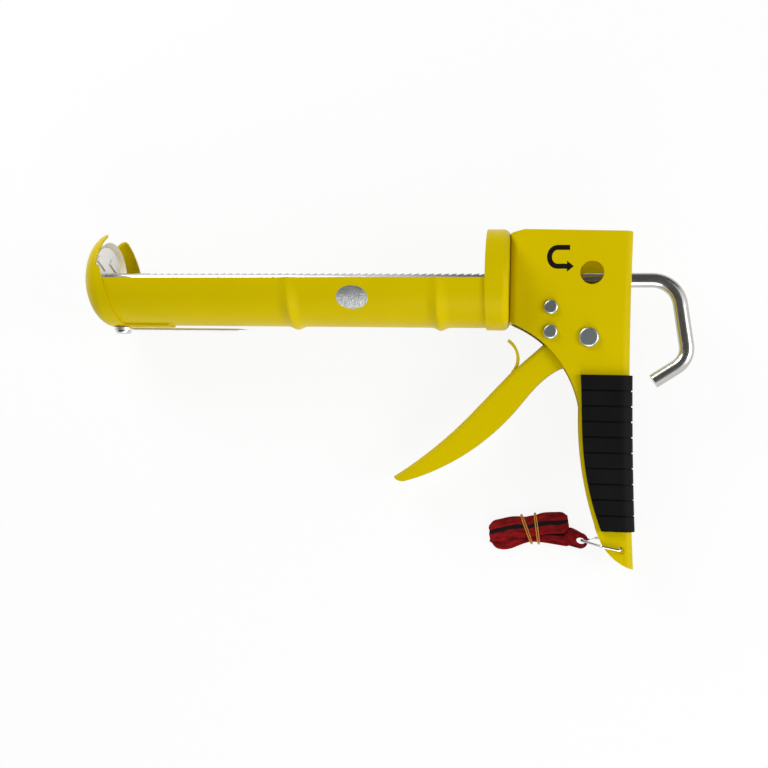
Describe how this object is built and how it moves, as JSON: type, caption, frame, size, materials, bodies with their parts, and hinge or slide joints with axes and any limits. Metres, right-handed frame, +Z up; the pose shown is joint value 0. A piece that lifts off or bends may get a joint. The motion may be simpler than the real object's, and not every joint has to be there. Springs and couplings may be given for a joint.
{
  "type": "caulking gun",
  "caption": "Ratchet caulking gun lying on its side: open half barrel with slotted cap, toothed hook rod and plunger, folded steel body, channel trigger, ribbed grip, banded wrist strap.",
  "frame": {"origin": "on the table, under the middle of the gun's bounding box as it lies on its side", "axes": "+X points back along the ratchet rod from the nose to the hook, +Y points out of the open side of the barrel and away from the handle's tip, +Z is up from the table, out of the near side plate"},
  "size_m": [0.3446, 0.1834, 0.0566],
  "materials": {
    "yellow_enamel": "glossy stoved yellow enamel on pressed steel sheet",
    "zinc_steel": "bright zinc plate on mild steel",
    "hardened_steel": "oiled hardened steel",
    "spring_steel": "dark drawn spring wire",
    "grip_rubber": "matt black moulded rubber with cross grooves",
    "red_webbing": "woven red webbing with a black centre stripe",
    "band_rubber": "amber rubber band"
  },
  "bodies": {
    "frame": {"half_barrel": "yellow_enamel", "front_cap": "yellow_enamel", "piercer_rivet": "zinc_steel", "rear_cup": "yellow_enamel", "barrel_bush": "zinc_steel", "barrel_nut": "zinc_steel", "body_shell": "yellow_enamel", "grip_sleeve": "grip_rubber", "pivot_rivet": "zinc_steel", "pivot_bush": "zinc_steel", "stop_rivet": "zinc_steel", "pawl_rivet": "zinc_steel", "return_spring": "spring_steel", "holding_pawl_spring": "spring_steel", "strap_link": "zinc_steel", "wrist_strap": "red_webbing", "strap_bands": "band_rubber"},
    "trigger": {"trigger": "yellow_enamel", "cutter_blade": "hardened_steel", "blade_rivet": "zinc_steel", "drive_pawl_pin": "zinc_steel", "drive_pawl_spring": "spring_steel"},
    "drive_pawl": {"drive_pawl": "hardened_steel"},
    "holding_pawl": {"holding_pawl": "hardened_steel"},
    "piercer": {"piercing_wire": "zinc_steel"},
    "plunger": {"plunger_plate": "zinc_steel"},
    "rod": {"toothed_rod": "zinc_steel", "plunger_washer": "zinc_steel", "plunger_nut": "zinc_steel"}
  },
  "joints": [
    {"name": "trigger_squeeze", "type": "hinge", "parent": "frame", "child": "trigger", "pos_m": [0.11613, 0.03182, 0.02492], "axis": [0, -0.1132, 0.9936], "range_deg": [0, 35], "stiffness_Nm_per_rad": 0.25, "springref_deg": -17.19, "deforming": ["return_spring"]},
    {"name": "drive_pawl_turn", "type": "hinge", "parent": "trigger", "child": "drive_pawl", "pos_m": [0.12154, 0.04888, 0.02686], "axis": [0, -0.1132, 0.9936], "range_deg": [-35, 0], "deforming": ["drive_pawl_spring"]},
    {"name": "holding_pawl_turn", "type": "hinge", "parent": "frame", "child": "holding_pawl", "pos_m": [0.09573, 0.04782, 0.02674], "axis": [0, -0.1132, 0.9936], "range_deg": [0, 12], "stiffness_Nm_per_rad": 0.005, "springref_deg": -17.19, "deforming": ["holding_pawl_spring"]},
    {"name": "rod_slide", "type": "slide", "parent": "frame", "child": "plunger", "axis": [1, 0, 0], "range_m": [0, 0.2255]},
    {"name": "rod_turn", "type": "hinge", "parent": "plunger", "child": "rod", "pos_m": [0.07323, 0.06372, 0.02855], "axis": [-1, 0, 0], "range_deg": [0, 180]},
    {"name": "piercer_swing", "type": "hinge", "parent": "frame", "child": "piercer", "pos_m": [-0.15387, 0.03485, 0.02526], "axis": [0, -0.9936, -0.1132], "range_deg": [0, 180]}
  ],
  "couplings": [
    {"joint": "drive_pawl_turn", "follows": "trigger_squeeze", "ratio": -1}
  ]
}
